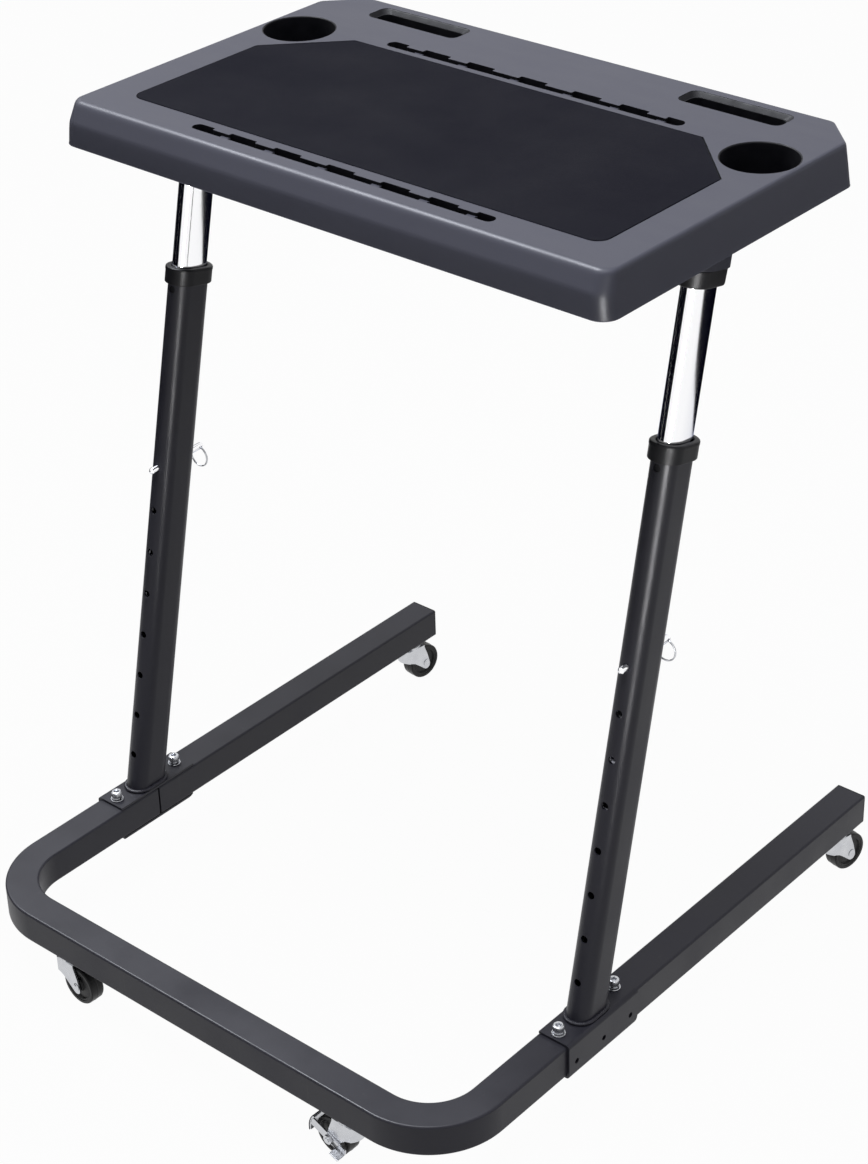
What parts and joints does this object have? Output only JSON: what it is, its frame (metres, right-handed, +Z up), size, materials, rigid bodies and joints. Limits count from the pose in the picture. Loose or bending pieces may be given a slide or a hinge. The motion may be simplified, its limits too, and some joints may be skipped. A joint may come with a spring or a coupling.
{
  "type": "bike trainer desk",
  "caption": "Height-adjustable desk with a moulded tray on leaning telescopic legs over a U-shaped tube base on casters, rolled over a bike on a trainer.",
  "frame": {"origin": "floor level, in the middle of the bounding box", "axes": "+Z up, X across the desk with +X on the side of the braked caster, +Y from the front bar towards the open ends of the arms"},
  "size_m": [0.75, 0.8216, 1.0036],
  "materials": {
    "painted_steel": "satin black powder coat",
    "chrome": "polished chrome plate",
    "zinc": "bright zinc plate",
    "tray_plastic": "fine moulded grain",
    "black_plastic": "satin",
    "mat_rubber": "woven grain",
    "wheel_plastic": "satin"
  },
  "bodies": {
    "base": {"front_tube": "painted_steel", "rear_arm_left": "painted_steel", "arm_cap_left": "black_plastic", "foot_bracket_left": "painted_steel", "upright_tube_left": "painted_steel", "upright_bush_left": "black_plastic", "foot_bolt_left_front": "zinc", "foot_washer_left_front": "zinc", "spring_washer_left_front": "zinc", "foot_bolt_left_rear": "zinc", "foot_washer_left_rear": "zinc", "spring_washer_left_rear": "zinc", "rear_arm_right": "painted_steel", "arm_cap_right": "black_plastic", "foot_bracket_right": "painted_steel", "upright_tube_right": "painted_steel", "upright_bush_right": "black_plastic", "foot_bolt_right_front": "zinc", "foot_washer_right_front": "zinc", "spring_washer_right_front": "zinc", "foot_bolt_right_rear": "zinc", "foot_washer_right_rear": "zinc", "spring_washer_right_rear": "zinc", "caster_stem_front_left": "zinc", "caster_stem_front_right": "zinc", "caster_stem_rear_left": "zinc", "caster_stem_rear_right": "zinc"},
    "desk": {"tray": "tray_plastic", "mat": "mat_rubber", "socket_screw_left_front": "zinc", "socket_screw_left_rear": "zinc", "inner_tube_left": "chrome", "tray_collar_left": "black_plastic", "socket_screw_right_front": "zinc", "socket_screw_right_rear": "zinc", "inner_tube_right": "chrome", "tray_collar_right": "black_plastic"},
    "pin_left": {"lock_pin_left": "chrome"},
    "ring_left": {"pin_ring_left": "zinc"},
    "pin_right": {"lock_pin_right": "chrome"},
    "ring_right": {"pin_ring_right": "zinc"},
    "fork_front_left": {"caster_fork_front_left": "zinc", "caster_axle_front_left": "zinc"},
    "wheel_front_left": {"caster_wheel_front_left": "wheel_plastic"},
    "fork_front_right": {"caster_fork_front_right": "zinc", "caster_axle_front_right": "zinc", "brake_nut": "zinc"},
    "wheel_front_right": {"caster_wheel_front_right": "wheel_plastic"},
    "fork_rear_left": {"caster_fork_rear_left": "zinc", "caster_axle_rear_left": "zinc"},
    "wheel_rear_left": {"caster_wheel_rear_left": "wheel_plastic"},
    "fork_rear_right": {"caster_fork_rear_right": "zinc", "caster_axle_rear_right": "zinc"},
    "wheel_rear_right": {"caster_wheel_rear_right": "wheel_plastic"},
    "brake": {"brake_lever": "zinc"}
  },
  "joints": [
    {"name": "desk_height", "type": "slide", "parent": "base", "child": "desk", "axis": [0, 0.2151, 0.9766], "range_m": [-0.162, 0.162]},
    {"name": "pin_left_pull", "type": "slide", "parent": "base", "child": "pin_left", "axis": [0, 1, 0], "range_m": [0, 0.062]},
    {"name": "pin_ring_left_swing", "type": "hinge", "parent": "pin_left", "child": "ring_left", "pos_m": [-0.348, 0.00003, 0.52562], "axis": [1, 0, 0], "range_deg": [-40, 140]},
    {"name": "pin_right_pull", "type": "slide", "parent": "base", "child": "pin_right", "axis": [0, 1, 0], "range_m": [0, 0.062]},
    {"name": "pin_ring_right_swing", "type": "hinge", "parent": "pin_right", "child": "ring_right", "pos_m": [0.348, 0.00003, 0.52562], "axis": [1, 0, 0], "range_deg": [-40, 140]},
    {"name": "caster_front_left_swivel", "type": "hinge", "parent": "base", "child": "fork_front_left", "pos_m": [-0.221, -0.38594, 0.06], "axis": [0, 0, 1], "continuous": true},
    {"name": "wheel_front_left_spin", "type": "hinge", "parent": "fork_front_left", "child": "wheel_front_left", "pos_m": [-0.20151, -0.38662, 0.0248], "axis": [0.0349, 0.9994, 0], "continuous": true},
    {"name": "caster_front_right_swivel", "type": "hinge", "parent": "base", "child": "fork_front_right", "pos_m": [0.221, -0.38594, 0.06], "axis": [0, 0, 1], "continuous": true},
    {"name": "wheel_front_right_spin", "type": "hinge", "parent": "fork_front_right", "child": "wheel_front_right", "pos_m": [0.20151, -0.38526, 0.0248], "axis": [-0.0349, -0.9994, 0], "continuous": true},
    {"name": "brake_press", "type": "hinge", "parent": "fork_front_right", "child": "brake", "pos_m": [0.20151, -0.38526, 0.0248], "axis": [-0.0349, -0.9994, 0], "range_deg": [0, 30]},
    {"name": "caster_rear_left_swivel", "type": "hinge", "parent": "base", "child": "fork_rear_left", "pos_m": [-0.348, 0.36606, 0.06], "axis": [0, 0, 1], "continuous": true},
    {"name": "wheel_rear_left_spin", "type": "hinge", "parent": "fork_rear_left", "child": "wheel_rear_left", "pos_m": [-0.34596, 0.38545, 0.0248], "axis": [-0.9945, 0.1045, 0], "continuous": true},
    {"name": "caster_rear_right_swivel", "type": "hinge", "parent": "base", "child": "fork_rear_right", "pos_m": [0.348, 0.36606, 0.06], "axis": [0, 0, 1], "continuous": true},
    {"name": "wheel_rear_right_spin", "type": "hinge", "parent": "fork_rear_right", "child": "wheel_rear_right", "pos_m": [0.35172, 0.3852, 0.0248], "axis": [-0.9816, 0.1908, 0], "continuous": true}
  ]
}
